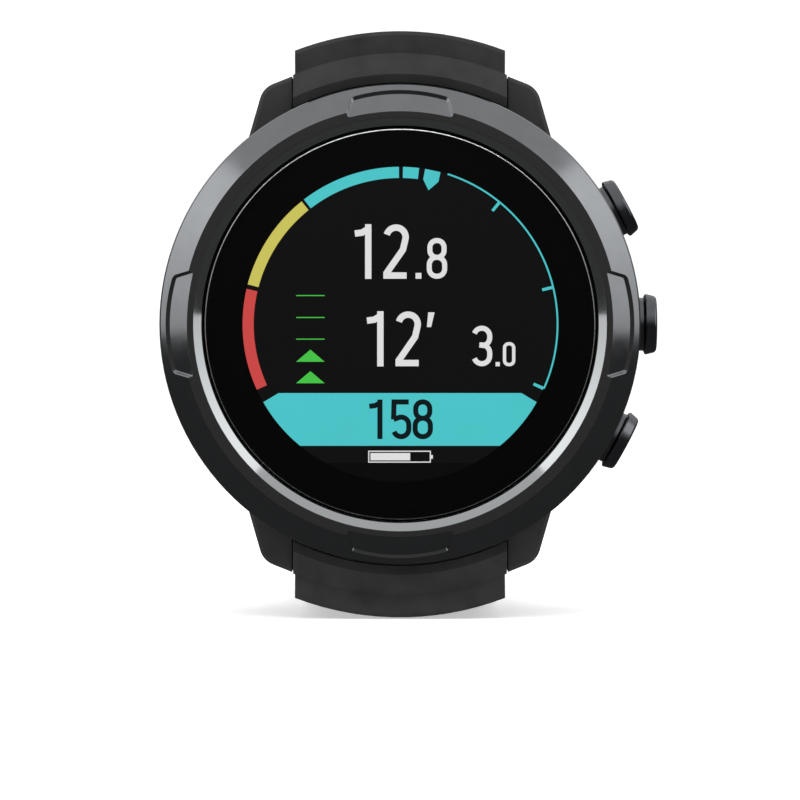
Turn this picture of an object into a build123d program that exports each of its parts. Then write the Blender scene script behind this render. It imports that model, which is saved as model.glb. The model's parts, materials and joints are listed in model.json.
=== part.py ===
from build123d import *
import math
import os

# Wrist dive computer, standing upright on the flat underside of its lower strap half.
# Millimetres. The dial faces -Y, twelve o'clock is +Z, and the three buttons are on +X.
# The origin is the middle of the strap's flat underside.
#
# The watch itself is modelled in the dial frame: x to the right, y towards twelve o'clock,
# and z towards the viewer, so a depth d below the bezel's front face is z = -d.
# Strap routes are modelled in the side frame (y is depth behind the bezel, z is rise above
# the dial axis), before they are placed in the same way.

# Driving dimensions
BEZEL_R = 26.5
TOTAL_DEPTH = 16.5
STRAP_END_R = 32.57
STRAP_FACE = STRAP_END_R + 0.03
DIAL_HEIGHT = STRAP_FACE
FRONT_Y = -32.0

# Bezel and glass
BEZEL_CREST_OUT_R, BEZEL_CREST_IN_R = 23.9, 22.7
BEZEL_BORE_R, BEZEL_BORE_TOP, BEZEL_SKIRT_IN_R, BEZEL_SKIRT_DEPTH = 21.68, 0.7, 25.1, 6.0
BEZEL_EDGE_R, BEZEL_EDGE_DEPTH, BEZEL_SIDE_DEPTH = 26.35, 1.82, 2.15
BEZEL_SHELF_R, BEZEL_SHELF_TOP, BEZEL_SHELF_BOTTOM = 20.4, 3.3, 4.3
GRIP_IN_R, GRIP_OUT_R = 23.36, 25.75
GRIP_FLOOR_IN_HALF, GRIP_FLOOR_OUT_HALF, GRIP_WALL_SLOPE, GRIP_CORNER_R = 5.8, 4.5, 42, 0.35
GLASS_R, GLASS_TOP, GLASS_BOTTOM, GLASS_EDGE = 21.58, 0.55, 2.9, 0.15
DISPLAY_OPENING_R, DISPLAY_MASK_R = 17.35, 20.2

# Case
CASE_R, CASE_BACK_R, CASE_TOP, CASE_SHOULDER, CASE_BOTTOM = 26.2, 25.2, 4.7, 6.05, 14.5
CASE_TAPER_TOP = 11.5
CAVITY_R, CASE_NECK_R = 20.6, 25.0
STRAP_FLAT, STRAP_FLAT_TOP = 23.3, 7.2
LUG_INNER, LUG_TOP, LUG_BOTTOM, LUG_CORNER_R, LUG_EDGE = 12.0, 6.3, 15.2, 2.4, 0.4
BACK_R, BACK_FLAT, BACK_PLATE_DEPTH, BACK_DOME_R = 24.6, 23.0, 15.9, 17.0
GROOVE_IN_R, GROOVE_OUT_R, GROOVE_DEPTH = 21.0, 21.8, 0.6
SCREW_CIRCLE_R, SCREW_HEAD_R, SCREW_SHANK_R = 22.75, 1.15, 0.6
SCREW_SEAT, SCREW_HEAD_END, SCREW_TIP = 15.1, 15.8, 12.0
SENSOR_Y, SENSOR_R, SENSOR_COVER_R, SENSOR_COVER_TOP = -9.0, 2.2, 2.6, 15.6
SENSOR_HOLE_R, SENSOR_HOLE_CIRCLE_R = 0.3, 1.5
CONTACT_Y, CONTACT_R, CONTACT_PITCH = 10.0, 0.8, 3.0
FIT = 0.03

# Electronics
BOARD_R, BOARD_TOP, BOARD_BOTTOM = 16.9, 6.4, 7.2
CHASSIS_R, CHASSIS_TOP, CHASSIS_BOTTOM = 20.0, 5.0, 5.9
DISPLAY_R, DISPLAY_TOP, DISPLAY_BOTTOM = 18.6, 3.1, 4.9
POST_CIRCLE_R, POST_R, POST_BOTTOM = 18.4, 1.1, 13.9
MOTOR_Y, MOTOR_R, MOTOR_BOTTOM, MOTOR_WALL, MOTOR_SHAFT_R = 14.6, 4.0, 10.0, 0.3, 0.35
WEIGHT_R, WEIGHT_TOP, WEIGHT_BOTTOM = 3.35, 7.7, 9.3
FLEX_HALF, FLEX_Y, FLEX_THICK, FLEX_TAIL = 3.5, -15.1, 0.2, 2.6

# Buttons: distances along each button's own axis are measured from the dial axis
BUTTONS = {"upper": 28.0, "middle": 0.0, "lower": -28.0}
BUTTON_DEPTH = 9.7
CAP_BASE, CAP_RIM, CAP_TOP, CAP_BASE_R, CAP_TOP_R, CAP_EDGE = 27.25, 28.58, 28.7, 3.4, 3.12, 0.2
NECK_START, NECK_R, NECK_IN_R = 25.95, 2.96, 2.45
COUNTERBORE_START, COUNTERBORE_R = 25.0, 3.45
TUBE_START, TUBE_R, TUBE_BORE_R = 20.0, 2.0, 1.35
STEM_START, STEM_R, CAP_FLOOR = 18.7, 1.25, 26.6
CLIP_START, CLIP_THICKNESS, CLIP_R, GROOVE_R = 19.55, 0.4, 2.1, 0.9
SEAL_AT, SEAL_MAJOR_R, SEAL_MINOR_R, SEAL_GROOVE_R, SEAL_GROOVE_HALF = 22.6, 1.12, 0.22, 0.89, 0.3
SPRING_R, SPRING_WIRE_R, SPRING_TURNS = 1.85, 0.14, 3.0
SWITCH_AT, SWITCH_SIZE, SWITCH_PIN_AT, SWITCH_PIN_R, SWITCH_PIN_LENGTH = 16.4, (4.2, 3.8, 1.6), 17.5, 0.8, 0.7

# Spring bars
BAR_DEPTH, BAR_RISE = 11.6, 25.4
BAR_R, BAR_END, TIP_R, TIP_END, LUG_HOLE_R, LUG_HOLE_END = 0.75, 11.7, 0.5, 13.6, 0.55, 13.75
PIN_START, PIN_BORE_START, LEVER_X, LEVER_R, LEVER_END = 5.2, 3.4, 8.4, 0.4, 14.3
PIN_TRAVEL = 1.6

# Strap
STRAP_HALF, STRAP_FLAT_HALF, STRAP_THICK, STRAP_SHOULDER, STRAP_EDGE = 11.4, 4.9, 3.6, 1.8, 0.4
END_IN_R, END_CREASE_IN_R, END_CREASE_OUT_R, END_CLEAR = 26.75, 27.72, 30.08, 28.0
END_WIDE_HALF, END_NARROW_HALF, END_PLATE_START, END_BACK = 11.85, 11.64, 13.0, 15.0
BARREL_HALF = 11.65
BARREL_R, BARREL_BORE_R = 1.75, 0.8
UPPER_STRAIGHT, UPPER_BEND_R, UPPER_BEND, UPPER_TAIL = 4.0, 60.0, 26.0, 22.0
LOWER_STRAIGHT, LOWER_BEND_R, LOWER_BEND, LOWER_TAIL = 37.0, 60.0, 52.0, 14.0
HOLE_COUNT, HOLE_PITCH, HOLE_R, HOLE_LENGTH, FIRST_HOLE_AT = 9, 7.0, 1.1, 3.4, 14.0

# Buckle and keepers
BUCKLE_HOLE_R, BUCKLE_EYE_R = 0.8, 1.8
FRAME_IN_HALF, FRAME_OUT_HALF, FRAME_REACH, FRAME_THICK = 12.2, 14.7, 13.5, 2.8
FRAME_CORNER_R, FRAME_BACK, CROSSBAR_WIDTH, CROSSBAR_DROP = 2.2, 1.5, 3.0, 0.2
TONGUE_HALF, TONGUE_THICK, TONGUE_RISE, TONGUE_TIP_R, TONGUE_OVER = 1.4, 1.2, 0.45, 0.9, 1.4
TONGUE_SLOT_HALF, TONGUE_SLOT_LENGTH = 1.75, 6.5
KEEPER_IN_HALF, KEEPER_OUT_HALF, KEEPER_WIDTH, KEEPER_WALL = 12.0, 13.5, 6.0, 1.4
KEEPER_ROOM, KEEPER_UNDER, KEEPER_CORNER_R = 2.7, 0.15, 1.2
FIXED_KEEPER_AT, FREE_KEEPER_AT = 7.0, 13.1

placed_dial = Plane(origin=(0, FRONT_Y, DIAL_HEIGHT), x_dir=(1, 0, 0), z_dir=(0, -1, 0)).location
placed_side = Location((0, FRONT_Y, DIAL_HEIGHT))


# Helpers

def ring(*profile):
    """Turn a profile of (radius, depth) points about the dial axis."""
    points = [(radius, -depth) for radius, depth in profile]
    return revolve(make_face(Plane.XZ * Polyline(*points, close=True)), Axis.Z)


def band(inner, outer, top, bottom):
    return ring((inner, top), (outer, top), (outer, bottom), (inner, bottom))


def disc(radius, top, bottom, at=(0, 0)):
    """A round plate between two depths."""
    height = bottom - top
    return Pos(at[0], at[1], -(top + bottom) / 2) * Cylinder(radius, height)


def block(x_range, y_range, depth_range):
    """A box between limits along x, y and depth."""
    size = [high - low for low, high in (x_range, y_range, depth_range)]
    middle = [sum(limits) / 2 for limits in (x_range, y_range, depth_range)]
    return Pos(middle[0], middle[1], -middle[2]) * Box(*size)


def around(angle, radius):
    return radius * math.cos(math.radians(angle)), radius * math.sin(math.radians(angle))


def on_button(angle):
    """The frame of a button: +Z outwards along its axis, starting on the dial axis."""
    return Location((0, 0, -BUTTON_DEPTH)) * Rot(0, 0, angle) * Rot(0, 90, 0)


def turned(*profile):
    """Turn a profile of (radius, distance along +Z) points about +Z."""
    return revolve(make_face(Plane.XZ * Polyline(*profile, close=True)), Axis.Z)


def along_x(radius, x_start, x_end, depth, rise):
    """A round bar parallel to x in the dial frame."""
    return Pos((x_start + x_end) / 2, rise, -depth) * Rot(0, 90, 0) * Cylinder(radius, x_end - x_start)


def in_dial_frame(solid):
    return placed_dial * solid


# Front of the watch

def bezel_ring():
    body = ring(
        (BEZEL_BORE_R, BEZEL_BORE_TOP), (BEZEL_CREST_IN_R, 0), (BEZEL_CREST_OUT_R, 0),
        (BEZEL_EDGE_R, BEZEL_EDGE_DEPTH), (BEZEL_R, BEZEL_SIDE_DEPTH), (BEZEL_R, BEZEL_SKIRT_DEPTH),
        (BEZEL_SKIRT_IN_R, BEZEL_SKIRT_DEPTH), (BEZEL_SKIRT_IN_R, BEZEL_SHELF_BOTTOM),
        (BEZEL_SHELF_R, BEZEL_SHELF_BOTTOM), (BEZEL_SHELF_R, BEZEL_SHELF_TOP),
        (BEZEL_BORE_R, BEZEL_SHELF_TOP),
    )
    for quarter in range(4):
        body -= Rot(0, 0, 90 * quarter) * grip_recess()
    return body


def grip_recess():
    """What a grip recess takes away: a floor parallel to the outer facet, inside sloped walls."""
    fall = BEZEL_EDGE_DEPTH / (BEZEL_EDGE_R - BEZEL_CREST_OUT_R)
    above_floor = ring((GRIP_IN_R - 1, -fall), (GRIP_IN_R + 4, 4 * fall), (GRIP_IN_R + 4, -3),
                       (GRIP_IN_R - 1, -3))
    return above_floor & grip_walls(math.atan(fall))


def grip_walls(tilt):
    """A flared plug square to the facet, whose outline is the pocket's at its deepest."""
    deepest, height, reach = 0.7, 1.8, 3.0
    rim_depth = (GRIP_OUT_R - BEZEL_CREST_OUT_R) * math.tan(tilt)
    rim = Plane(origin=(0, GRIP_OUT_R, -rim_depth), x_dir=(1, 0, 0),
                z_dir=(0, math.sin(tilt), math.cos(tilt)))
    flare = deepest * math.tan(math.radians(GRIP_WALL_SLOPE))
    sides = Polyline((-GRIP_FLOOR_IN_HALF, -reach - flare), (GRIP_FLOOR_IN_HALF, -reach - flare),
                     (GRIP_FLOOR_OUT_HALF, 1), (-GRIP_FLOOR_OUT_HALF, 1), close=True)
    arc_r = GRIP_OUT_R / math.cos(tilt)
    outline = make_face(sides) & Pos(0, -flare - arc_r) * Circle(arc_r)
    outline = fillet(outline.vertices().sort_by(Axis.Y)[-2:], GRIP_CORNER_R)
    return rim.location * Pos(0, 0, -deepest) * extrude(outline, height, taper=-GRIP_WALL_SLOPE)


def crystal():
    glass = disc(GLASS_R, GLASS_TOP, GLASS_BOTTOM)
    return chamfer(glass.edges().group_by(Axis.Z)[-1], GLASS_EDGE)


# Case

def lug():
    """The upper right lug. The other three are its mirror images."""
    outline = make_face(Polyline((LUG_INNER, 17), (LUG_INNER, 27.52), (15.2, 26.25), (16.75, 20.9),
                                 (17.85, 17), close=True))
    corner = outline.vertices().sort_by(Axis.Y)[-2]
    outline = fillet(corner, LUG_CORNER_R)
    solid = Pos(0, 0, -LUG_BOTTOM) * extrude(outline, LUG_BOTTOM - LUG_TOP)
    front = solid.edges().group_by(Axis.Z)[-1]
    outer = [edge for edge in front if edge.center().X > LUG_INNER + 0.6 and edge.center().Y > 20]
    return chamfer(outer, LUG_EDGE)


def case_middle():
    body = ring(
        (CAVITY_R, CASE_TOP), (CASE_NECK_R, CASE_TOP), (CASE_NECK_R, CASE_SHOULDER),
        (CASE_R, CASE_SHOULDER), (CASE_R, CASE_TAPER_TOP), (CASE_BACK_R, CASE_BOTTOM), (CAVITY_R, CASE_BOTTOM),
    )
    for side in (1, -1):
        inner, outer = sorted((side * STRAP_FLAT, side * 30))
        body -= block((-LUG_INNER, LUG_INNER), (inner, outer), (STRAP_FLAT_TOP, CASE_BOTTOM + 1))
    corner = lug()
    for piece in (corner, mirror(corner, Plane.YZ)):
        body += piece
        body += mirror(piece, Plane.XZ)
    body -= disc(CAVITY_R, CASE_TOP - 1, LUG_BOTTOM + 1)
    body -= disc(BACK_R + 0.15, CASE_BOTTOM, LUG_BOTTOM + 1)
    body -= band(GROOVE_IN_R, GROOVE_OUT_R, CASE_BOTTOM - GROOVE_DEPTH, CASE_BOTTOM + 1)
    for rise in (BAR_RISE, -BAR_RISE):
        body -= along_x(LUG_HOLE_R, -LUG_HOLE_END, LUG_HOLE_END, BAR_DEPTH, rise)
    for angle in BUTTONS.values():
        bore = Pos(0, 0, 23) * Cylinder(TUBE_R + 0.01, 8)
        recess = Pos(0, 0, COUNTERBORE_START + 2) * Cylinder(COUNTERBORE_R, 4)
        body -= on_button(angle) * bore
        body -= on_button(angle) * recess
    for quarter in range(4):
        at = around(45 + 90 * quarter, SCREW_CIRCLE_R)
        body -= disc(SCREW_SHANK_R + FIT, SCREW_TIP - 0.1, CASE_BOTTOM + 1, at)
    return body


def case_back():
    plate = disc(BACK_R, CASE_BOTTOM, BACK_PLATE_DEPTH)
    plate = chamfer(plate.edges().group_by(Axis.Z)[0], 0.4)
    plate &= block((-30, 30), (-BACK_FLAT, BACK_FLAT), (CASE_BOTTOM - 1, TOTAL_DEPTH + 1))
    dome = disc(BACK_DOME_R, CASE_BOTTOM, TOTAL_DEPTH)
    body = plate + chamfer(dome.edges().group_by(Axis.Z)[0], 0.5)
    for quarter in range(4):
        at = around(45 + 90 * quarter, SCREW_CIRCLE_R)
        body -= disc(SCREW_HEAD_R + FIT, SCREW_SEAT, TOTAL_DEPTH, at)
        body -= disc(SCREW_SHANK_R + FIT, CASE_BOTTOM - 1, TOTAL_DEPTH, at)
    body -= disc(SENSOR_R + FIT, CASE_BOTTOM - 1, TOTAL_DEPTH + 1, (0, SENSOR_Y))
    body -= disc(SENSOR_COVER_R + FIT, SENSOR_COVER_TOP, TOTAL_DEPTH + 1, (0, SENSOR_Y))
    for x in contact_places():
        body -= disc(CONTACT_R + FIT, CASE_BOTTOM - 1, TOTAL_DEPTH + 1, (x, CONTACT_Y))
    return body


def case_back_screw(angle):
    at = around(angle, SCREW_CIRCLE_R)
    head = disc(SCREW_HEAD_R, SCREW_SEAT, SCREW_HEAD_END, at)
    head = chamfer(head.edges().group_by(Axis.Z)[0], 0.15)
    shank = disc(SCREW_SHANK_R, SCREW_TIP, SCREW_SEAT, at)
    socket = Pos(at[0], at[1], -BACK_PLATE_DEPTH) * extrude(RegularPolygon(0.6, 6), 0.5)
    return head + shank - socket


def pressure_sensor_cover():
    cover = disc(SENSOR_COVER_R, SENSOR_COVER_TOP, TOTAL_DEPTH, (0, SENSOR_Y))
    for x, y in [(0, 0)] + [around(60 * step, SENSOR_HOLE_CIRCLE_R) for step in range(6)]:
        cover -= disc(SENSOR_HOLE_R, SENSOR_COVER_TOP - 1, TOTAL_DEPTH + 1, (x, y + SENSOR_Y))
    return cover


def contact_places():
    return [(step - 1.5) * CONTACT_PITCH for step in range(4)]


# Electronics

def inner_chassis():
    body = disc(CHASSIS_R, CHASSIS_TOP, CHASSIS_BOTTOM)
    body -= block((-6, 6), (-3, 9), (CHASSIS_TOP - 1, CHASSIS_BOTTOM + 1))
    body -= block((-4, 4), (-15.8, -14.2), (CHASSIS_TOP - 1, CHASSIS_BOTTOM + 1))
    for angle in (60, 120, 240, 300):
        body += disc(POST_R, CHASSIS_TOP, POST_BOTTOM, around(angle, POST_CIRCLE_R))
    for angle in (30, 150, 210, 330):
        body += disc(1.0, CHASSIS_TOP, BOARD_TOP, around(angle, 14.0))
    return body


def circuit_chips():
    chips = [(-6, 3, 6, 6), (3, 4, 4, 5), (-6, -6, 4, 4), (2, -5, 3.5, 3.5), (7, -1, 2.5, 3.2)]
    return [
        block((x - w / 2, x + w / 2), (y - h / 2, y + h / 2), (BOARD_BOTTOM, BOARD_BOTTOM + 1.0))
        for x, y, w, h in chips
    ]


def battery_cell():
    cell = block((-13, 10), (-10, 10), (8.5, 12.9))
    return fillet(cell.edges().filter_by(Axis.Z), 1.5)


def vibration_motor_can():
    at = (0, MOTOR_Y)
    can = disc(MOTOR_R, BOARD_BOTTOM, MOTOR_BOTTOM, at)
    can -= disc(MOTOR_R - MOTOR_WALL, BOARD_BOTTOM - 1, MOTOR_BOTTOM - MOTOR_WALL, at)
    return can + disc(MOTOR_SHAFT_R, BOARD_BOTTOM + 0.1, MOTOR_BOTTOM - 0.2, at)


def vibration_motor_weight():
    """An off-centre weight: a disc with its upper part cut away."""
    at = (0, MOTOR_Y)
    weight = disc(WEIGHT_R, WEIGHT_TOP, WEIGHT_BOTTOM, at)
    weight -= block((-5, 5), (MOTOR_Y + 0.9, MOTOR_Y + 6), (WEIGHT_TOP - 1, WEIGHT_BOTTOM + 1))
    return weight - disc(MOTOR_SHAFT_R + 0.07, WEIGHT_TOP - 1, WEIGHT_BOTTOM + 1, at)


def antenna():
    strip = band(18.9, 19.7, CHASSIS_BOTTOM, 7.6)
    return strip & block((-20, -13.6), (-13.6, 13.6), (5, 8))


def display_flex():
    across = (-FLEX_HALF, FLEX_HALF)
    tail = block(across, (FLEX_Y, FLEX_Y + FLEX_THICK), (DISPLAY_BOTTOM, BOARD_TOP))
    return tail + block(across, (FLEX_Y, FLEX_Y + FLEX_TAIL), (BOARD_TOP - FLEX_THICK, BOARD_TOP))


# Buttons, each modelled along +Z in its own frame

def button_cap():
    """A tapered cap with a slightly domed face, on a hollow neck and a solid stem."""
    cap = turned(
        (0, CAP_FLOOR), (NECK_IN_R, CAP_FLOOR), (NECK_IN_R, NECK_START), (NECK_R, NECK_START),
        (NECK_R, CAP_BASE - 0.1), (CAP_BASE_R - 0.1, CAP_BASE), (CAP_BASE_R, CAP_BASE + 0.15),
        (CAP_TOP_R + 0.03, CAP_RIM - CAP_EDGE), (CAP_TOP_R - CAP_EDGE, CAP_RIM), (0, CAP_TOP),
    )
    clip_low, clip_high = CLIP_START - FIT, CLIP_START + CLIP_THICKNESS + FIT
    seal_low, seal_high = SEAL_AT - SEAL_GROOVE_HALF, SEAL_AT + SEAL_GROOVE_HALF
    stem = turned(
        (0, STEM_START), (STEM_R, STEM_START), (STEM_R, clip_low), (GROOVE_R, clip_low),
        (GROOVE_R, clip_high), (STEM_R, clip_high), (STEM_R, seal_low), (SEAL_GROOVE_R, seal_low),
        (SEAL_GROOVE_R, seal_high), (STEM_R, seal_high), (STEM_R, CAP_FLOOR + 0.2), (0, CAP_FLOOR + 0.2),
    )
    return cap + stem


def button_tube():
    return turned((TUBE_BORE_R, TUBE_START), (TUBE_R, TUBE_START),
                  (TUBE_R, COUNTERBORE_START), (TUBE_BORE_R, COUNTERBORE_START))


def button_clip():
    """A retaining ring with an open mouth, pushed onto the stem's groove."""
    clip = turned((GROOVE_R, CLIP_START), (CLIP_R, CLIP_START), (CLIP_R, CLIP_START + CLIP_THICKNESS),
                  (GROOVE_R, CLIP_START + CLIP_THICKNESS))
    return clip - Pos(1.5, 0, CLIP_START) * Box(3, 1.2, 2)


def button_spring():
    low, high = COUNTERBORE_START + SPRING_WIRE_R, CAP_FLOOR - SPRING_WIRE_R
    path = Helix((high - low) / SPRING_TURNS, high - low, SPRING_R)
    section = Plane(origin=path @ 0, z_dir=path % 0) * Circle(SPRING_WIRE_R)
    return Pos(0, 0, low) * sweep(section, path, is_frenet=True)


def button_switch():
    housing = Pos(0, 0, SWITCH_AT) * Box(*SWITCH_SIZE)
    return housing + Pos(0, 0, SWITCH_PIN_AT) * Cylinder(SWITCH_PIN_R, SWITCH_PIN_LENGTH)


# Spring bars, in the dial frame

def spring_bar(side):
    rise = side * BAR_RISE
    bar = along_x(BAR_R, -BAR_END, BAR_END, BAR_DEPTH, rise)
    bar += along_x(TIP_R, -TIP_END, -BAR_END, BAR_DEPTH, rise)
    bar -= along_x(TIP_R + FIT, PIN_BORE_START, BAR_END + 1, BAR_DEPTH, rise)
    room = LEVER_R + 0.05
    along = (LEVER_X - PIN_TRAVEL - room, LEVER_X + room)
    return bar - block(along, (rise - room, rise + room), (BAR_DEPTH, BAR_DEPTH + 2))


def quick_release_pin(side):
    rise = side * BAR_RISE
    pin = along_x(TIP_R, PIN_START, TIP_END, BAR_DEPTH, rise)
    lever_length = LEVER_END - BAR_DEPTH
    lever = Pos(LEVER_X, rise, -BAR_DEPTH - lever_length / 2) * Cylinder(LEVER_R, lever_length)
    return pin + lever


# Strap halves. A route starts behind the case and is followed in the side frame,
# where y is depth and z is rise. The section's z axis points away from the wrist.

def strap_route(straight, radius, bend, tail, side):
    """Outer-face line of a strap half: straight, a tangent bend towards the wrist, straight."""
    start = (0, END_PLATE_START, side * STRAP_FACE)
    first = Line(start, (0, END_PLATE_START + straight, side * STRAP_FACE))
    angle = math.radians(bend)
    turn_end = (0, END_PLATE_START + straight + radius * math.sin(angle),
                side * (STRAP_FACE - radius * (1 - math.cos(angle))))
    half = angle / 2
    turn_middle = (0, END_PLATE_START + straight + radius * math.sin(half),
                   side * (STRAP_FACE - radius * (1 - math.cos(half))))
    turn = ThreePointArc(first @ 1, turn_middle, turn_end)
    tip = (0, turn_end[1] + tail * math.cos(angle), turn_end[2] - side * tail * math.sin(angle))
    return Wire([first.edge(), turn.edge(), Line(turn_end, tip).edge()])


def strap_section(side):
    """Cross-section: flat outer face, sloping shoulders, flat inner face."""
    edge, flat, thick = STRAP_HALF, STRAP_FLAT_HALF, STRAP_THICK
    low = STRAP_EDGE - thick
    shape = Polyline((-flat, 0), (flat, 0), (edge, -STRAP_SHOULDER), (edge, low),
                     (edge - STRAP_EDGE, -thick), (STRAP_EDGE - edge, -thick), (-edge, low),
                     (-edge, -STRAP_SHOULDER), close=True)
    across = Plane(origin=(0, END_PLATE_START, side * STRAP_FACE), x_dir=(-side, 0, 0), z_dir=(0, 1, 0))
    return across * make_face(shape)


def at_route(route, distance, side):
    """A frame on the outer face: x across the strap, y along it, z away from the wrist."""
    here = route.position_at(distance, PositionMode.LENGTH)
    along = route.tangent_at(distance, PositionMode.LENGTH)
    outwards = Vector(0, -along.Z, along.Y) * side
    return Plane(origin=here, x_dir=along.cross(outwards), z_dir=outwards)


def crowned_end(side):
    """The visible end piece: concentric with the bezel, with two crease rings."""
    wide = ring(
        (END_IN_R, 5.6), (END_CREASE_IN_R, 4.7), (END_CREASE_OUT_R, 5.7), (END_CREASE_OUT_R, END_BACK - 1),
        (END_IN_R, END_BACK - 1),
    )
    narrow = ring(
        (END_CREASE_OUT_R - 1.2, 5.7), (END_CREASE_OUT_R, 5.75), (STRAP_END_R - 0.5, 6.05),
        (STRAP_END_R - 0.1, 6.35), (STRAP_END_R, 6.9), (STRAP_END_R, END_BACK),
        (END_CREASE_OUT_R - 1.2, END_BACK),
    )
    reach = sorted((0, side * 40))
    wide &= block((-END_WIDE_HALF, END_WIDE_HALF), reach, (0, 20))
    narrow &= block((-END_NARROW_HALF, END_NARROW_HALF), reach, (0, 20))
    room = sorted((0, side * END_CLEAR))
    end = wide + narrow - block((-20, 20), room, (BAR_DEPTH - 2.3, 20))
    neck = sorted((side * BAR_RISE, side * (END_CLEAR + 2)))
    end += block((-BARREL_HALF, BARREL_HALF), neck, (BAR_DEPTH - BARREL_R, BAR_DEPTH + BARREL_R))
    return end + along_x(BARREL_R, -BARREL_HALF, BARREL_HALF, BAR_DEPTH, side * BAR_RISE)


def barrel_cuts(side):
    """The spring bar's bore and the notch that its release lever slides in."""
    rise = side * BAR_RISE
    bore = along_x(BARREL_BORE_R, -20, 20, BAR_DEPTH, rise)
    notch = block((LEVER_X - PIN_TRAVEL - 0.7, LEVER_X + 0.7), (rise - 0.8, rise + 0.8),
                  (BAR_DEPTH, LEVER_END + 1))
    return bore + notch


def strap_body(side, route):
    plate = sweep(strap_section(side), route)
    return in_dial_frame(crowned_end(side) - barrel_cuts(side)) + placed_side * plate


def upper_route():
    return strap_route(UPPER_STRAIGHT, UPPER_BEND_R, UPPER_BEND, UPPER_TAIL, 1)


def upper_eye():
    """The buckle bar's frame, at the far end of the upper half, in the middle of its thickness."""
    route = upper_route()
    tip = at_route(route, route.length, 1)
    return Plane(origin=tip.origin - tip.z_dir * (STRAP_THICK / 2), x_dir=tip.x_dir, z_dir=tip.z_dir)


def strap_upper():
    body = strap_body(1, upper_route())
    eye = placed_side * upper_eye().location
    body += eye * Rot(0, 90, 0) * Cylinder(BUCKLE_EYE_R, 2 * STRAP_HALF)
    body -= eye * Rot(0, 90, 0) * Cylinder(BUCKLE_HOLE_R, 40)
    slot = Box(2 * TONGUE_SLOT_HALF, 2 * TONGUE_SLOT_LENGTH, 3 * STRAP_THICK)
    return body - eye * Pos(0, TONGUE_SLOT_LENGTH - 2.5, 0) * slot


def strap_lower():
    route = strap_route(LOWER_STRAIGHT, LOWER_BEND_R, LOWER_BEND, LOWER_TAIL, -1)
    body = strap_body(-1, route)
    for step in range(HOLE_COUNT):
        here = at_route(route, route.length - FIRST_HOLE_AT - step * HOLE_PITCH, -1)
        slot = extrude(SlotOverall(HOLE_LENGTH, 2 * HOLE_R), 4 * STRAP_THICK, both=True)
        body -= placed_side * here.location * slot
    tip = placed_side * at_route(route, route.length, -1).location
    length = 2 * STRAP_HALF
    tail = Pos(0, -length / 2, 0) * Box(length + 4, length, 20)
    round_end = Pos(0, -STRAP_HALF, 0) * Cylinder(STRAP_HALF, 30)
    round_end += Pos(0, -STRAP_HALF - length / 2, 0) * Box(length, length, 30)
    return body - tip * (tail - round_end)


# Buckle, in the frame of the buckle bar: x across, y away from the case, z away from the wrist

def buckle_bar():
    return Rot(0, 90, 0) * Cylinder(BAR_R, 2 * (FRAME_OUT_HALF - 0.3))


def buckle_frame():
    """A D-shaped frame: two arms with eyes for the bar, joined by a lowered crossbar."""
    length = FRAME_REACH + CROSSBAR_WIDTH / 2 + FRAME_BACK + 0.2
    outline = Pos(0, length / 2 - FRAME_BACK - 0.4) * Rectangle(2 * FRAME_OUT_HALF, length)
    window = FRAME_REACH - CROSSBAR_WIDTH / 2
    outline -= Pos(0, window / 2 - FRAME_BACK) * Rectangle(2 * FRAME_IN_HALF, window + 2 * FRAME_BACK)
    corners = outline.vertices().sort_by(Axis.Y)[-2:]
    frame = Pos(0, 0, -FRAME_THICK / 2) * extrude(fillet(corners, FRAME_CORNER_R), FRAME_THICK)
    lowered = Box(2 * FRAME_IN_HALF - 3, 8, FRAME_THICK + 2 * CROSSBAR_DROP)
    frame -= Pos(0, FRAME_REACH, FRAME_THICK / 2) * lowered
    return frame - Rot(0, 90, 0) * Cylinder(BUCKLE_HOLE_R, 40)


def buckle_tongue():
    """A prong that lies on the crossbar, with an eye round the bar."""
    eye = Rot(0, 90, 0) * Cylinder(BUCKLE_EYE_R - 0.1, 2 * TONGUE_HALF)
    reach = FRAME_REACH + TONGUE_OVER
    prong = Pos(0, reach / 2, TONGUE_RISE) * Box(2 * TONGUE_HALF, reach, TONGUE_THICK)
    prong = fillet(prong.edges().group_by(Axis.Y)[-1].filter_by(Axis.Z), TONGUE_TIP_R)
    return eye + prong - Rot(0, 90, 0) * Cylinder(BUCKLE_HOLE_R, 10)


def keeper(at):
    """A silicone loop round the strap, with room above it for the other half's tail."""
    inner_low, inner_high = -STRAP_THICK - KEEPER_UNDER, KEEPER_ROOM
    low, high = inner_low - KEEPER_WALL, inner_high + KEEPER_WALL
    outer = Pos(0, 0, (low + high) / 2) * Box(2 * KEEPER_OUT_HALF, KEEPER_WIDTH, high - low)
    outer = fillet(outer.edges().filter_by(Axis.Y), KEEPER_CORNER_R)
    inner = Pos(0, 0, (inner_low + inner_high) / 2) * Box(
        2 * KEEPER_IN_HALF, KEEPER_WIDTH + 2, inner_high - inner_low)
    route = upper_route()
    return at_route(route, route.length - at, 1).location * (outer - inner)


# Assembly

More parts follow.
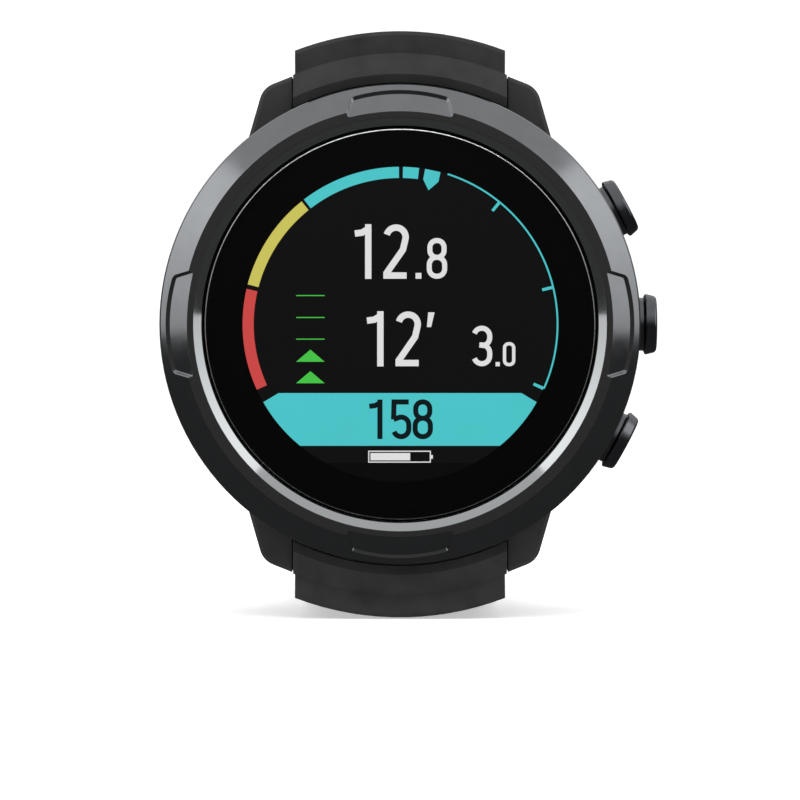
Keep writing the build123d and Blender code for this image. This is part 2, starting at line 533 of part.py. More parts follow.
def watch_nodes():
    return {
        "bezel_ring": bezel_ring(),
        "crystal": crystal(),
        "crystal_gasket": band(BEZEL_SHELF_R, BEZEL_BORE_R - 0.02, GLASS_BOTTOM, BEZEL_SHELF_TOP),
        "display_mask": band(DISPLAY_OPENING_R, DISPLAY_MASK_R, GLASS_BOTTOM, DISPLAY_TOP),
        "display_panel": disc(DISPLAY_R, DISPLAY_TOP, DISPLAY_BOTTOM),
        "bezel_gasket": band(21.5, 23.5, BEZEL_SHELF_BOTTOM, CASE_TOP),
        "case_middle": case_middle(),
        "case_back": case_back(),
        "case_back_gasket": band(GROOVE_IN_R, GROOVE_OUT_R, CASE_BOTTOM - GROOVE_DEPTH, CASE_BOTTOM),
        "case_back_screws": Compound([case_back_screw(45 + 90 * quarter) for quarter in range(4)]),
        "charging_contacts": Compound(
            [disc(CONTACT_R, 13.2, TOTAL_DEPTH, (x, CONTACT_Y)) for x in contact_places()]),
        "pressure_sensor": disc(SENSOR_R, 13.1, SENSOR_COVER_TOP, (0, SENSOR_Y)),
        "pressure_sensor_cover": pressure_sensor_cover(),
        "inner_chassis": inner_chassis(),
        "main_circuit_board": disc(BOARD_R, BOARD_TOP, BOARD_BOTTOM),
        "circuit_chips": Compound(circuit_chips()),
        "battery_cell": battery_cell(),
        "display_flex": display_flex(),
        "antenna": antenna(),
        "buzzer_disc": disc(5.0, CASE_BOTTOM - 0.4, CASE_BOTTOM, (10, -7)),
        "vibration_motor_can": vibration_motor_can(),
        "vibration_motor_weight": vibration_motor_weight(),
    }


def button_nodes():
    nodes = {}
    seal = Pos(0, 0, SEAL_AT) * Torus(SEAL_MAJOR_R, SEAL_MINOR_R)
    for name, angle in BUTTONS.items():
        for piece, solid in (("cap", button_cap()), ("tube", button_tube()), ("seal", seal),
                             ("spring", button_spring()), ("clip", button_clip()),
                             ("switch", button_switch())):
            nodes[f"{name}_button_{piece}"] = on_button(angle) * solid
    return nodes


def strap_nodes():
    eye = upper_eye().location
    return {
        "strap_upper": strap_upper(),
        "strap_lower": strap_lower(),
        "spring_bar_upper": in_dial_frame(spring_bar(1)),
        "spring_bar_lower": in_dial_frame(spring_bar(-1)),
        "quick_release_pin_upper": in_dial_frame(quick_release_pin(1)),
        "quick_release_pin_lower": in_dial_frame(quick_release_pin(-1)),
        "buckle_bar": placed_side * eye * buckle_bar(),
        "buckle_frame": placed_side * eye * buckle_frame(),
        "buckle_tongue": placed_side * eye * buckle_tongue(),
        "keeper_fixed": placed_side * keeper(FIXED_KEEPER_AT),
        "keeper_free": placed_side * keeper(FREE_KEEPER_AT),
    }


def main():
    os.makedirs("parts", exist_ok=True)
    nodes = {name: in_dial_frame(solid) for name, solid in (watch_nodes() | button_nodes()).items()}
    nodes |= strap_nodes()
    for name, solid in nodes.items():
        export_step(solid, f"parts/{name}.step")


main()
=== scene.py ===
import json
import math

import bmesh
import bpy
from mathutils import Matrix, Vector

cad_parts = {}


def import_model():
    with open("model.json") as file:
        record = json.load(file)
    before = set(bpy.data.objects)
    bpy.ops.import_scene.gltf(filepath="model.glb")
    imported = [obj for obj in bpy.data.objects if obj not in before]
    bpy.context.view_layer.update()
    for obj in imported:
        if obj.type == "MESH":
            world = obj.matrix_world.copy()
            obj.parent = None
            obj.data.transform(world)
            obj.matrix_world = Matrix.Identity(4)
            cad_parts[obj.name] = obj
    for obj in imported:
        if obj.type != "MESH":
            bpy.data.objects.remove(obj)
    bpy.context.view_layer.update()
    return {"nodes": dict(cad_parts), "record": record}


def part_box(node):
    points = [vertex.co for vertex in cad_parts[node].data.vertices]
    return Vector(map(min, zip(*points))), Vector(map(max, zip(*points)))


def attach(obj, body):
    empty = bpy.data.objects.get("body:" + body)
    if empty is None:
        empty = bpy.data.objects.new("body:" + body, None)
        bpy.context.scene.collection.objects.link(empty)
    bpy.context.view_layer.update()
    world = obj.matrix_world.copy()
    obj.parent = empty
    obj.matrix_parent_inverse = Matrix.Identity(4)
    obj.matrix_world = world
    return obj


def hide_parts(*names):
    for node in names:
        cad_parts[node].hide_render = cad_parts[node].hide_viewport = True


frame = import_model()

# Places that everything else is measured from. The dial faces -Y, and up is +Z.
MM = 0.001
BEZEL_LOW, BEZEL_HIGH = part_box("bezel_ring")
CENTRE_X = (BEZEL_LOW[0] + BEZEL_HIGH[0]) / 2
CENTRE_Z = (BEZEL_LOW[2] + BEZEL_HIGH[2]) / 2
FRONT_Y = BEZEL_LOW[1]
DISPLAY_Y = FRONT_Y + 2.87 * MM
GLASS_FRONT_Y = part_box("crystal")[0][1]
CASE = "watch_case"

# Sizes on the dial, in millimetres from its centre or behind its front plane.
DISPLAY_R = 17.28
CHAMFER_OUT_R = 22.72
BORE_SHADE_IN_R, BORE_SHADE_OUT_R = 21.79, 21.84
PRINT_IN_R, PRINT_OUT_R, PRINT_FRONT, PRINT_BACK = 17.36, 21.5, 2.86, 2.89
GLASS_LINE_R, GLASS_LINE_HALF = 21.38, 0.045
STRAP_CREASE_IN_R, STRAP_CREASE_OUT_R, STRAP_CREASE_DEPTH = 27.72, 30.08, 4.7


def polar(angle, radius):
    """A point on the dial, in millimetres from its centre; the angle is from three o'clock, in degrees."""
    return radius * math.cos(math.radians(angle)), radius * math.sin(math.radians(angle))


# ---------------------------------------------------------------- materials

def new_material(name, colour, roughness, metallic=0.0, **sockets):
    """A Principled material, with constant values on the shader's own sockets."""
    material = bpy.data.materials.new(name)
    material.use_nodes = True
    shader = material.node_tree.nodes["Principled BSDF"]
    shader.inputs["Base Color"].default_value = (*colour, 1.0)
    shader.inputs["Roughness"].default_value = roughness
    shader.inputs["Metallic"].default_value = metallic
    for socket, value in sockets.items():
        shader.inputs[socket.replace("_", " ")].default_value = value
    return material


class Nodes:
    """Short ways to add and join nodes in the tree of a material or of the world."""

    def __init__(self, owner):
        self.tree = owner.node_tree
        self.shader = self.tree.nodes.get("Principled BSDF")

    def add(self, kind, **settings):
        node = self.tree.nodes.new(kind)
        for key, value in settings.items():
            setattr(node, key, value)
        return node

    def join(self, source, target):
        self.tree.links.new(source, target)

    def place(self):
        return self.add("ShaderNodeTexCoord").outputs["Object"]

    def math(self, operation, first, second=None, third=None):
        node = self.add("ShaderNodeMath", operation=operation)
        for socket, value in zip(node.inputs, (first, second, third)):
            if isinstance(value, (int, float)):
                socket.default_value = value
            elif value is not None:
                self.join(value, socket)
        return node.outputs[0]

    def blend(self, factor, first, second, kind="RGBA"):
        """One value or colour turning into another; a tuple is a constant colour."""
        node = self.add("ShaderNodeMix", data_type=kind)
        self.join(factor, node.inputs["Factor"])
        for socket, source in ((node.inputs["A"], first), (node.inputs["B"], second)):
            if isinstance(source, tuple):
                socket.default_value = (*source, 1)
            else:
                self.join(source, socket)
        return node.outputs["Result"]

    def dial_radius(self, place):
        """Distance from the dial's axis, in metres."""
        across = self.math("SUBTRACT", place.outputs["X"], CENTRE_X)
        up = self.math("SUBTRACT", place.outputs["Z"], CENTRE_Z)
        return self.math("SQRT", self.math("MULTIPLY_ADD", across, across, self.math("MULTIPLY", up, up)))

    def noise(self, scale, detail=3.0, stretch=None):
        """Noise over the object's own coordinates; scale is in cycles per metre."""
        place = self.place()
        if stretch:
            mapping = self.add("ShaderNodeMapping")
            mapping.inputs["Scale"].default_value = stretch
            self.join(place, mapping.inputs["Vector"])
            place = mapping.outputs["Vector"]
        node = self.add("ShaderNodeTexNoise")
        node.inputs["Scale"].default_value = scale
        node.inputs["Detail"].default_value = detail
        self.join(place, node.inputs["Vector"])
        return node.outputs["Fac"]

    def spread(self, value, low, high, from_low=0.25, from_high=0.75, kind="LINEAR"):
        """The value mapped from one range to another, and kept within it."""
        node = self.add("ShaderNodeMapRange", interpolation_type=kind)
        for socket, number in zip(node.inputs[1:5], (from_low, from_high, low, high)):
            socket.default_value = number
        self.join(value, node.inputs["Value"])
        return node.outputs["Result"]

    def bump(self, height, distance):
        node = self.add("ShaderNodeBump")
        node.inputs["Strength"].default_value = 1.0
        node.inputs["Distance"].default_value = distance
        self.join(height, node.inputs["Height"])
        self.join(node.outputs["Normal"], self.shader.inputs["Normal"])


def textured(name, colour, roughness, metallic=0.0, grain=4000, relief=0.004 * MM, vary=0.2,
             rough_vary=0.06, stretch=None, **sockets):
    """A material whose colour and roughness vary a little over a fine grain with some relief."""
    material = new_material(name, colour, roughness, metallic, **sockets)
    nodes = Nodes(material)
    grain_value = nodes.noise(grain, 4.0, stretch)
    cloud = nodes.noise(grain / 18, 2.0)
    dark = tuple(channel * (1 - vary) for channel in colour)
    light = tuple(min(1.0, channel * (1 + vary)) for channel in colour)
    nodes.join(nodes.blend(nodes.spread(cloud, 0, 1), dark, light), nodes.shader.inputs["Base Color"])
    rough = nodes.spread(grain_value, max(0.0, roughness - rough_vary), roughness + rough_vary)
    nodes.join(rough, nodes.shader.inputs["Roughness"])
    nodes.bump(grain_value, relief)
    return material


def bezel_steel():
    """Dark coated steel: a bead-blasted crest band between two polished faces."""
    material = new_material("bezel_steel", (0.09, 0.09, 0.095), 0.15, 1.0)
    nodes = Nodes(material)
    normal = nodes.add("ShaderNodeSeparateXYZ")
    nodes.join(nodes.add("ShaderNodeTexCoord").outputs["Normal"], normal.inputs[0])
    blasted = nodes.math("GREATER_THAN", nodes.math("ABSOLUTE", normal.outputs["Y"]), 0.93)
    place = nodes.add("ShaderNodeSeparateXYZ")
    nodes.join(nodes.place(), place.inputs[0])
    radius = nodes.dial_radius(place)
    inner = nodes.math("LESS_THAN", radius, CHAMFER_OUT_R * MM)
    fine = nodes.noise(9000, 2.0)
    scuff = nodes.noise(500, 6.0)

    polished = nodes.math("MULTIPLY_ADD", inner, -0.08, nodes.spread(scuff, 0.13, 0.19))
    rough = nodes.blend(blasted, polished, nodes.spread(fine, 0.5, 0.62), "FLOAT")
    nodes.join(rough, nodes.shader.inputs["Roughness"])
    facet = nodes.blend(nodes.spread(scuff, 0, 1), (0.27, 0.28, 0.29), (0.3, 0.31, 0.325))
    # Painted shade: the chamfer turns black over its innermost edge, next to the bore.
    shade = nodes.spread(radius, 0, 1, BORE_SHADE_IN_R * MM, BORE_SHADE_OUT_R * MM)
    chamfer = nodes.blend(shade, (0.004, 0.004, 0.004), (0.55, 0.57, 0.58))
    face = nodes.blend(inner, facet, chamfer)
    nodes.join(nodes.blend(blasted, face, (0.12, 0.12, 0.122)), nodes.shader.inputs["Base Color"])
    nodes.bump(nodes.math("MULTIPLY", fine, blasted), 0.004 * MM)
    return material


def turned_steel(name, colour, roughness, pitch=0.12 * MM):
    """Steel with fine rings about the dial axis."""
    material = new_material(name, colour, roughness, 1.0)
    nodes = Nodes(material)
    place = nodes.add("ShaderNodeSeparateXYZ")
    nodes.join(nodes.place(), place.inputs[0])
    rings = nodes.math("SINE", nodes.math("MULTIPLY", nodes.dial_radius(place), 2 * math.pi / pitch))
    blotch = nodes.noise(600, 4.0)
    uneven = nodes.spread(blotch, roughness - 0.04, roughness + 0.06)
    nodes.join(nodes.math("MULTIPLY_ADD", rings, 0.04, uneven), nodes.shader.inputs["Roughness"])
    shade = nodes.blend(nodes.spread(blotch, 0, 1), tuple(0.9 * c for c in colour), colour)
    nodes.join(shade, nodes.shader.inputs["Base Color"])
    nodes.bump(rings, 0.0015 * MM)
    return material


def lit(name, colour):
    """A lit area of the display, with the faint unevenness of a backlight."""
    material = new_material(name, (0.0, 0.0, 0.0), 0.5)
    nodes = Nodes(material)
    nodes.shader.inputs["Emission Strength"].default_value = 1.0
    nodes.shader.inputs["Specular IOR Level"].default_value = 0.0
    glow = nodes.spread(nodes.noise(120, 2.0), 0, 1)
    dim = tuple(0.96 * channel for channel in colour)
    nodes.join(nodes.blend(glow, dim, colour), nodes.shader.inputs["Emission Color"])
    return material


def srgb(*values):
    """Display colours given as 0 to 255, as linear light."""
    return tuple(((v / 255 + 0.055) / 1.055) ** 2.4 if v > 10 else v / 255 / 12.92 for v in values)


def cover_glass():
    """Clear glass with the faintest smear on it."""
    material = new_material("cover_glass", (1.0, 1.0, 1.0), 0.0, IOR=1.5, Transmission_Weight=1.0)
    nodes = Nodes(material)
    smear = nodes.spread(nodes.noise(90, 5.0), 0.0, 0.02)
    nodes.join(smear, nodes.shader.inputs["Roughness"])
    return material


silicone = textured("strap_silicone", (0.027, 0.027, 0.0275), 0.55, grain=7000, relief=0.005 * MM,
                    rough_vary=0.08, Specular_IOR_Level=0.25)
polyamide = textured("case_polyamide", (0.027, 0.027, 0.028), 0.55, grain=3500, relief=0.008 * MM,
                     rough_vary=0.1, Specular_IOR_Level=0.25)
button_steel = textured("button_steel", (0.17, 0.175, 0.19), 0.2, 1.0, grain=2500, relief=0.001 * MM)
buckle_steel = textured("buckle_steel", (0.3, 0.305, 0.315), 0.3, 1.0, grain=3000, relief=0.002 * MM,
                        stretch=(0.05, 1, 1))
plain_steel = textured("plain_steel", (0.5, 0.5, 0.49), 0.32, 1.0, grain=2500, relief=0.001 * MM)
gold = textured("gold_plating", (0.8, 0.6, 0.26), 0.25, 1.0, grain=2500, relief=0.001 * MM)
seal = textured("seal_rubber", (0.012, 0.012, 0.012), 0.6, grain=4000)
display_black = textured("display_black", (0.001, 0.001, 0.001), 0.4, grain=2000, relief=0.0,
                         Specular_IOR_Level=0.0)
chassis = textured("chassis_plastic", (0.06, 0.06, 0.06), 0.5)
board = textured("board_green", (0.01, 0.09, 0.04), 0.35, grain=1500)
epoxy = textured("chip_epoxy", (0.015, 0.015, 0.016), 0.5)
foil = textured("battery_foil", (0.62, 0.63, 0.65), 0.35, 0.9, grain=900, relief=0.01 * MM)
film = textured("flex_film", (0.42, 0.2, 0.04), 0.3)
back_steel = turned_steel("back_steel", (0.45, 0.45, 0.46), 0.3)

FINISHES = {
    "bezel_ring": bezel_steel(), "crystal": cover_glass(), "case_middle": polyamide, "case_back": back_steel,
    "display_mask": display_black, "display_panel": display_black, "inner_chassis": chassis,
    "main_circuit_board": board, "circuit_chips": epoxy, "battery_cell": foil, "display_flex": film,
    "strap_upper": silicone, "strap_lower": silicone, "keeper_fixed": silicone, "keeper_free": silicone,
    "buckle_frame": buckle_steel, "buckle_tongue": buckle_steel,
}
GOLD_NODES = ("charging_contacts", "antenna", "buzzer_disc")
SEAL_NODES = ("crystal_gasket", "bezel_gasket", "case_back_gasket")


def finish_for(node):
    """The material of a CAD node."""
    if node in FINISHES:
        return FINISHES[node]
    if node in GOLD_NODES:
        return gold
    if node in SEAL_NODES or node.endswith("_seal"):
        return seal
    if node.endswith("_button_cap"):
        return button_steel
    if node.endswith("_switch"):
        return epoxy
    return plain_steel


def dress_frame():
    """Every CAD node gets its finish."""
    for name, node in frame["nodes"].items():
        finish = finish_for(name)
        if not node.material_slots:
            node.data.materials.append(finish)
        for place in node.material_slots:
            place.material = finish


dress_frame()


# ---------------------------------------------------------------- mesh helpers

def add_object(name, mesh, finish, body):
    """A new piece that rides a body."""
    piece = bpy.data.objects.new(name, mesh)
    bpy.context.collection.objects.link(piece)
    piece.data.materials.clear()
    piece.data.materials.append(finish)
    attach(piece, body)
    return piece


def smooth_by_angle(mesh, degrees=35):
    mesh.shade_smooth()
    mesh.set_sharp_from_angle(angle=math.radians(degrees))


def settle(piece):
    """Replace a piece's mesh by the result of its modifiers."""
    graph = bpy.context.evaluated_depsgraph_get()
    result = bpy.data.meshes.new_from_object(piece.evaluated_get(graph))
    piece.modifiers.clear()
    piece.data = result


def softened(node, width, reshape=None, angle=math.radians(22)):
    """The node's shape with its edges sharper than the angle rounded, standing for the node."""
    source = frame["nodes"][node]
    mesh = source.data.copy()
    build = bmesh.new()
    build.from_mesh(mesh)
    bmesh.ops.remove_doubles(build, verts=build.verts, dist=0.002 * MM)
    bmesh.ops.dissolve_limit(build, angle_limit=math.radians(0.5), verts=build.verts, edges=build.edges)
    if reshape:
        for vertex in build.verts:
            vertex.co = reshape(vertex.co)
    build.to_mesh(mesh)
    build.free()
    for layer in [layer for layer in mesh.attributes if layer.name == "custom_normal"]:
        mesh.attributes.remove(layer)
    mesh.shade_smooth()
    mesh.set_sharp_from_angle(angle=angle)
    piece = bpy.data.objects.new(node + "_rounded", mesh)
    bpy.context.collection.objects.link(piece)
    bevel = piece.modifiers.new("edges", "BEVEL")
    bevel.width, bevel.segments = width, 3
    bevel.limit_method, bevel.angle_limit = "ANGLE", angle
    bevel.harden_normals = True
    settle(piece)
    piece.data.materials.clear()
    piece.data.materials.append(finish_for(node))
    bodies = frame["record"]["behaviour"]["bodies"]
    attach(piece, next(body for body, nodes in bodies.items() if node in nodes))
    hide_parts(node)


# ---------------------------------------------------------------- display

LAYER = 0.012 * MM
DISPLAY_SCALE = 1.002

WHITE = lit("display_white", srgb(228, 228, 228))
CYAN = lit("display_cyan", srgb(78, 200, 204))
RED = lit("display_red", srgb(206, 74, 72))
YELLOW = lit("display_yellow", srgb(206, 198, 94))
GREEN = lit("display_green", srgb(72, 198, 72))
DARK = lit("display_dark", srgb(14, 26, 28))
GROUND = lit("display_ground", srgb(15, 15, 16))


def dial_point(x, z, layer):
    """A point on the display, in millimetres from the dial's centre, on one of its thin layers."""
    return Vector((CENTRE_X + x * DISPLAY_SCALE * MM, DISPLAY_Y - layer * LAYER,
                   CENTRE_Z + z * DISPLAY_SCALE * MM))


def plates(name, outlines, finish, layer):
    """Thin lit plates, one for each outline of dial points."""
    build = bmesh.new()
    for outline in outlines:
        face = build.faces.new([build.verts.new(dial_point(x, z, layer)) for x, z in outline])
        face.normal_update()
        if face.normal.y > 0:
            face.normal_flip()
        deeper = bmesh.ops.extrude_face_region(build, geom=[face])
        moved = [item for item in deeper["geom"] if isinstance(item, bmesh.types.BMVert)]
        bmesh.ops.translate(build, verts=moved, vec=(0, -0.6 * LAYER, 0))
    bmesh.ops.recalc_face_normals(build, faces=build.faces)
    mesh = bpy.data.meshes.new(name)
    build.to_mesh(mesh)
    build.free()
    return add_object(name, mesh, finish, CASE)


def arc(centre, radius, start, end, steps=12):
    """Points of an arc about a centre, from one angle to another in degrees."""
    for step in range(steps + 1):
        angle = start + (end - start) * step / steps
        x, z = polar(angle, radius)
        yield centre[0] + x, centre[1] + z


def sector(inner, outer, start, end):
    """The outline of a piece of a ring, between two angles in degrees."""
    steps = max(2, round(abs(end - start) / 1.5))
    outside = [polar(start + (end - start) * i / steps, outer) for i in range(steps + 1)]
    inside = [polar(end + (start - end) * i / steps, inner) for i in range(steps + 1)]
    return outside + inside


def stroke_quads(path, width, closed=False):
    """Outlines of a stroke of even width along a path, one quad for each of its stretches."""
    points = [Vector(point) for point in path]
    count = len(points)
    sides = []
    for i, here in enumerate(points):
        before = points[i - 1] if i or closed else None
        after = points[(i + 1) % count] if i < count - 1 or closed else None
        ways = [(here - before).normalized() if before is not None else None,
                (after - here).normalized() if after is not None else None]
        ways = [way for way in ways if way is not None]
        normals = [Vector((-way.y, way.x)) for way in ways]
        normal = sum(normals, Vector((0, 0))).normalized()
        reach = width / 2 / max(0.5, normal.dot(normals[0]))
        sides.append((here + normal * reach, here - normal * reach))
    pairs = list(zip(sides, sides[1:])) + ([(sides[-1], sides[0])] if closed else [])
    return [[a[0], b[0], b[1], a[1]] for a, b in pairs]


def oval(left, bottom, right, top, corner):
    """A closed path round a box with rounded corners."""
    points = []
    for x, z, start in ((right - corner, top - corner, 0), (left + corner, top - corner, 90),
                        (left + corner, bottom + corner, 180), (right - corner, bottom + corner, 270)):
        points += arc((x, z), corner, start, start + 90, 8)
    return points


def digit_paths(digit, w, h):
    """A digit in a box w wide and h high: the middle lines of its strokes, and whether each is closed."""
    r = w * 0.5
    middle = h * 0.53
    if digit == "0":
        return [(oval(0, 0, w, h, r * 0.9), True)]
    if digit == "1":
        flag = [(-0.18 * w, 0.875 * h), (0.2 * w, 0.895 * h), (0.52 * w, 0.97 * h)]
        return [(flag, False), ([(0.52 * w, 1.07 * h), (0.52 * w, -0.07 * h)], False)]
    if digit == "2":
        top = list(arc((r, h - r), r, 165, -15, 16))
        return [(top + [(w * 0.86, h * 0.54), (0, h * 0.05), (0, 0), (w * 1.05, 0)], False)]
    if digit == "3":
        top = list(arc((r, h - r), r, 160, 0, 12)) + list(arc((r, middle + r * 0.9), r, 0, -90, 8))
        low = list(arc((r, middle - r), r, 90, 0, 8)) + list(arc((r, r), r, 0, -160, 12))
        return [(top[:-1] + [(w * 0.35, middle)], False), ([(w * 0.35, middle)] + low, False)]
    if digit == "5":
        low = list(arc((r, middle * 1.06 - r), r, 110, 0, 10)) + list(arc((r, r), r, 0, -160, 12))
        return [([(w, h), (w * 0.03, h), (0, middle * 0.93)], False), ([(0, middle * 0.93)] + low, False)]
    upper = oval(w * 0.04, middle, w * 0.96, h, r * 0.88)
    return [(upper, True), (oval(0, 0, w, middle, r * 0.95), True)]


def number(name, digits, left, base, width, height, weight, finish=WHITE, layer=2, pitch=0.0):
    """Digits side by side; left and base are the outer edges of the first one."""
    quads = []
    for place, digit in enumerate(digits):
        for path, closed in digit_paths(digit, width - weight, height - weight):
            moved = [(x + left + weight / 2 + place * pitch, z + base + weight / 2) for x, z in path]
            quads += stroke_quads(moved, weight, closed)
    return plates(name, quads, finish, layer)


def display_ground():
    """The display's dark lit disc, cut flat along its lower edge."""
    start = math.degrees(math.asin(-15.22 / DISPLAY_R))
    outline = [polar(start + (180 - 2 * start) * i / 120, DISPLAY_R) for i in range(121)]
    plates("display_ground", [outline], GROUND, 1)


def gas_ring():
    """The coloured arcs round the display: red, yellow and cyan zones, a pointer and a thin scale."""
    inner, outer = 16.07, 17.29
    plates("zone_red", [sector(inner, outer, 167.0, 204.6)], RED, 2)
    plates("zone_yellow", [sector(inner, outer, 128.7, 165.3)], YELLOW, 2)
    plates("zone_cyan", [sector(inner, outer, 90.4, 127.6), sector(inner, outer, 83.0, 88.9)], CYAN, 2)
    pointer = [polar(80.8, outer), polar(80.9, 16.11), polar(78.0, 15.04), polar(74.9, 16.21),
               polar(75.1, outer)]
    plates("pointer", [pointer], CYAN, 2)
    scale = [sector(17.21, 17.4, 72.4, -24.1)]
    for angle in (50.8, 13.6, -24.1):
        half = math.degrees(0.165 / 16.7)
        scale.append(sector(inner, 17.25, angle - half, angle + half))
    plates("scale_arc", scale, CYAN, 3)


def ascent_marks():
    """Three bars over two arrowheads, left of the readings."""
    left, right, half = -11.41, -8.28, 0.055
    bars = [[(left, z - half), (right, z - half), (right, z + half), (left, z + half)]
            for z in (3.15, 0.742, -1.636)]
    arrows = [[(left, base), (right, base), ((left + right) / 2, base + 1.33)] for base in (-4.12, -6.48)]
    plates("ascent_marks", bars + arrows, GREEN, 2)


def pressure_band():
    """The cyan band across the lower part of the display, which follows its round edge."""
    low, shoulder, top = -13.35, -8.56, -7.56
    start, end = (math.degrees(math.asin(z / DISPLAY_R)) for z in (shoulder, low))
    right = [polar(start + (end - start) * i / 14, DISPLAY_R) for i in range(15)]
    left = [(-x, z) for x, z in reversed(right)]
    plates("pressure_band", [[(13.34, top)] + right + left + [(-13.34, top)]], CYAN, 2)
    number("pressure_value", "158", -3.36, -12.63, 2.24, 4.38, 0.57, DARK, layer=4, pitch=2.37)


def box_outline(left, low, right, top):
    return [(left, low), (right, low), (right, top), (left, top)]


def battery_mark():
    """An outlined battery with its terminal, about two thirds full."""
    left, right, low, top, line, inset = -3.43, 3.33, -15.14, -13.95, 0.12, 0.19
    quads = stroke_quads(box_outline(left, low, right, top), line, True)
    quads.append(box_outline(right + 0.06, -14.77, right + 0.28, -14.36))
    quads.append(box_outline(left + inset, low + inset, 1.12, top - inset))
    plates("battery_mark", quads, WHITE, 2)


def decimal_point(name, left, low, size):
    plates(name, [box_outline(left, low, left + size, low + size)], WHITE, 2)


def readings():
    """The figures: three readings, each with its smaller decimals or mark."""
    number("depth_value", "12", -4.93, 5.0, 2.8, 5.97, 0.7, pitch=3.1)
    decimal_point("depth_point", 1.71, 5.0, 0.64)
    number("depth_tenths", "8", 2.94, 5.0, 2.24, 4.47, 0.55)
    number("time_value", "12", -3.6, -4.61, 2.8, 6.02, 0.7, pitch=3.1)
    plates("time_prime", [[(3.1, 1.31), (3.8, 1.31), (3.42, -0.31), (2.95, -0.31)]], WHITE, 2)
    number("stop_value", "3", 7.85, -4.61, 2.28, 4.45, 0.55)
    decimal_point("stop_point", 10.5, -4.61, 0.46)
    number("stop_tenths", "0", 11.3, -4.61, 1.37, 2.65, 0.36)


display_ground()
gas_ring()
ascent_marks()
pressure_band()
battery_mark()
readings()


# ---------------------------------------------------------------- crystal edge

def lathe(name, profile, finish, steps=256):
    """A ring from a closed profile of (radius, depth) points, in millimetres, about the dial axis."""
    build = bmesh.new()
    rows = []
    for step in range(steps):
        angle = 360 * step / steps
        row = []
        for radius, depth in profile:
            x, z = polar(angle, radius)
            row.append(build.verts.new((CENTRE_X + x * MM, FRONT_Y + depth * MM, CENTRE_Z + z * MM)))
        rows.append(row)
    for step in range(steps):
        here, after = rows[step], rows[(step + 1) % steps]
        for i in range(len(profile)):
            j = (i + 1) % len(profile)
            build.faces.new((here[i], here[j], after[j], after[i]))
    bmesh.ops.recalc_face_normals(build, faces=build.faces)
    mesh = bpy.data.meshes.new(name)
    build.to_mesh(mesh)
    build.free()
    smooth_by_angle(mesh, 30)
    add_object(name, mesh, finish, CASE)


def printed_border():
    """The black print under the rim of the glass."""
    profile = box_outline(PRINT_IN_R, PRINT_FRONT, PRINT_OUT_R, PRINT_BACK)
    lathe("printed_border", profile, display_black)


def crystal_edge():
    """A bright metal ring that stands for the highlight on the glass's bevelled edge: a painted highlight,
    showing as a fine line round the glass.
    """
    edge_highlight = textured("glass_edge_highlight", (0.9, 0.92, 0.93), 0.3, 1.0, grain=6000, relief=0.0005 * MM)
    depth = (GLASS_FRONT_Y - FRONT_Y) / MM
    inside, outside = GLASS_LINE_R - GLASS_LINE_HALF, GLASS_LINE_R + GLASS_LINE_HALF
    profile = [(inside, depth - 0.012), (outside, depth + 0.022), (outside, depth + 0.032),
               (inside, depth - 0.002)]
    lathe("crystal_edge_highlight", profile, edge_highlight)


printed_border()
crystal_edge()


# ---------------------------------------------------------------- rounded edges

# How far back each edge is rounded, in millimetres.
ROUNDING = {
    "bezel_ring": 0.05, "case_middle": 0.18, "case_back": 0.12, "case_back_screws": 0.06,
    "strap_upper": 0.3, "strap_lower": 0.3, "keeper_fixed": 0.25, "keeper_free": 0.25,
    "buckle_frame": 0.35, "buckle_tongue": 0.2,
    "upper_button_cap": 0.12, "middle_button_cap": 0.12, "lower_button_cap": 0.12,
}


def strap_end_face(place):
    """Tips the outer face of a strap end forwards, and flattens its inner bevel."""
    depth = (place.y - FRONT_Y) / MM
    radius = math.hypot(place.x - CENTRE_X, place.z - CENTRE_Z) / MM
    shift = 0.0
    if depth < 6.5 and radius > 30.0:
        shift = 0.1 - 0.42 * (radius - STRAP_CREASE_OUT_R)
    elif depth < 5.75 and radius < 27.7:
        shift = STRAP_CREASE_DEPTH + 0.3 * (STRAP_CREASE_IN_R - radius) - depth
    return place + Vector((0, min(shift, 0.1) * MM, 0))


for node, width in ROUNDING.items():
    softened(node, width * MM, strap_end_face if node.startswith("strap_") else None)


# ---------------------------------------------------------------- stage

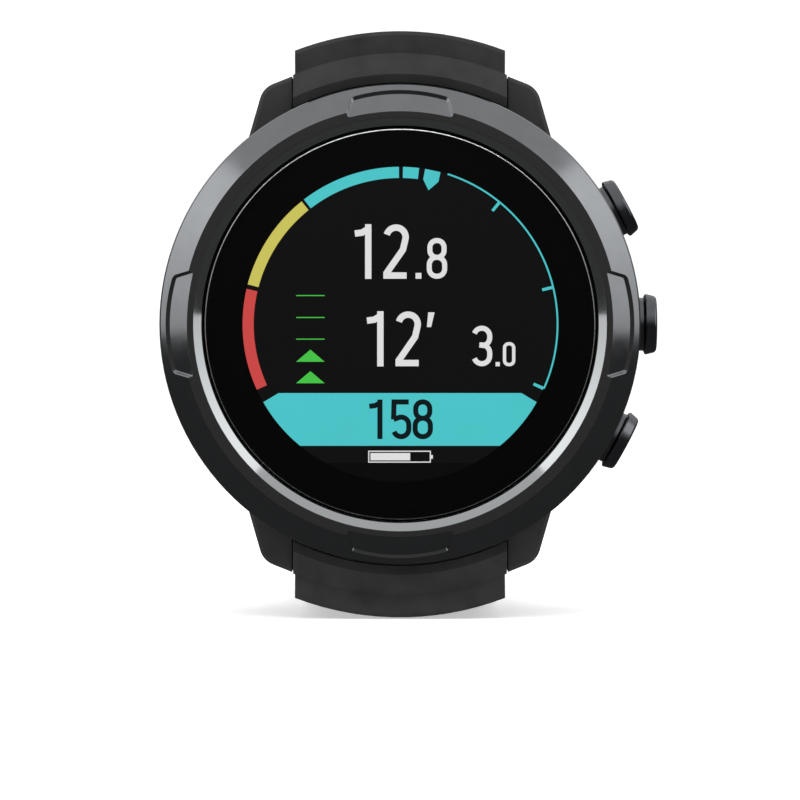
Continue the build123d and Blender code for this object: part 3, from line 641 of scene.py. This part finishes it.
def floor():
    """A pale floor that sweeps up into a wall behind the object."""
    half, front, bend, top = 4.0, -4.0, 2.0, 4.0
    line = [(front, 0.0)]
    line += [(bend + bend / 2 * math.sin(a), bend / 2 * (1 - math.cos(a)))
             for a in (math.pi / 2 * i / 24 for i in range(25))]
    line.append((bend * 1.5, top))
    points = [(x, y, z - 0.05 * MM) for y, z in line for x in (-half, half)]
    faces = [(2 * i, 2 * i + 1, 2 * i + 3, 2 * i + 2) for i in range(len(line) - 1)]
    mesh = bpy.data.meshes.new("floor")
    mesh.from_pydata(points, [], faces)
    smooth_by_angle(mesh)
    sweep = bpy.data.objects.new("floor", mesh)
    bpy.context.collection.objects.link(sweep)
    pale = textured("pale_floor", (0.9, 0.9, 0.9), 0.9, grain=40, relief=0.0, vary=0.004,
                    Specular_IOR_Level=0.0, Coat_Weight=0.08, Coat_Roughness=0.04,
                    Emission_Color=(1, 1, 1, 1), Emission_Strength=0.5)
    sweep.data.materials.append(pale)
    sweep.visible_glossy = sweep.visible_transmission = False


def softbox(name, place, size, power, mirrored):
    """A square light that faces the object; a mirrored one also shows in polished faces."""
    light = bpy.data.lights.new(name, "AREA")
    light.size, light.energy = size, power
    lamp = bpy.data.objects.new(name, light)
    lamp.location = place
    lamp.visible_glossy = mirrored
    lamp.rotation_euler = (-lamp.location).to_track_quat("-Z", "Y").to_euler()
    bpy.context.collection.objects.link(lamp)


def camera():
    """Straight along the dial axis; the shift puts the dial above the middle of the picture."""
    across, distance, rise = 88.06 * MM, 520 * MM, 0.0947
    widest = 2.15 * MM
    data = bpy.data.cameras.new("camera")
    data.sensor_width = 36
    data.lens = 36 * (distance + widest) / across
    data.shift_y = -rise
    eye = bpy.data.objects.new("camera", data)
    eye.location = (CENTRE_X, FRONT_Y - distance, CENTRE_Z)
    eye.rotation_euler = (math.radians(90), 0, 0)
    bpy.context.collection.objects.link(eye)
    bpy.context.scene.camera = eye


def world():
    """A plain soft studio: dim below eye level, brighter overhead, and white where the camera sees it."""
    studio = bpy.data.worlds.new("studio")
    studio.use_nodes = True
    bpy.context.scene.world = studio
    nodes = Nodes(studio)
    way = nodes.add("ShaderNodeSeparateXYZ")
    nodes.join(nodes.add("ShaderNodeTexCoord").outputs["Generated"], way.inputs[0])
    height = nodes.spread(way.outputs["Z"], 0, 1, -0.05, 0.6, "SMOOTHSTEP")
    light = nodes.blend(height, (0.05, 0.05, 0.05), (0.6, 0.6, 0.6))
    seen = nodes.add("ShaderNodeLightPath").outputs["Is Camera Ray"]
    backdrop = studio.node_tree.nodes["Background"]
    nodes.join(nodes.blend(seen, light, (1.0, 1.0, 1.0)), backdrop.inputs["Color"])


floor()
camera()
world()
softbox("top_light", (0.0, -0.45, 0.75), 0.6, 6.0, mirrored=False)
softbox("left_light", (-1.0, -0.35, 0.4), 0.9, 2.0, mirrored=True)
softbox("right_light", (1.0, -0.35, 0.4), 0.9, 2.0, mirrored=True)
bpy.context.scene.view_settings.view_transform = "Standard"
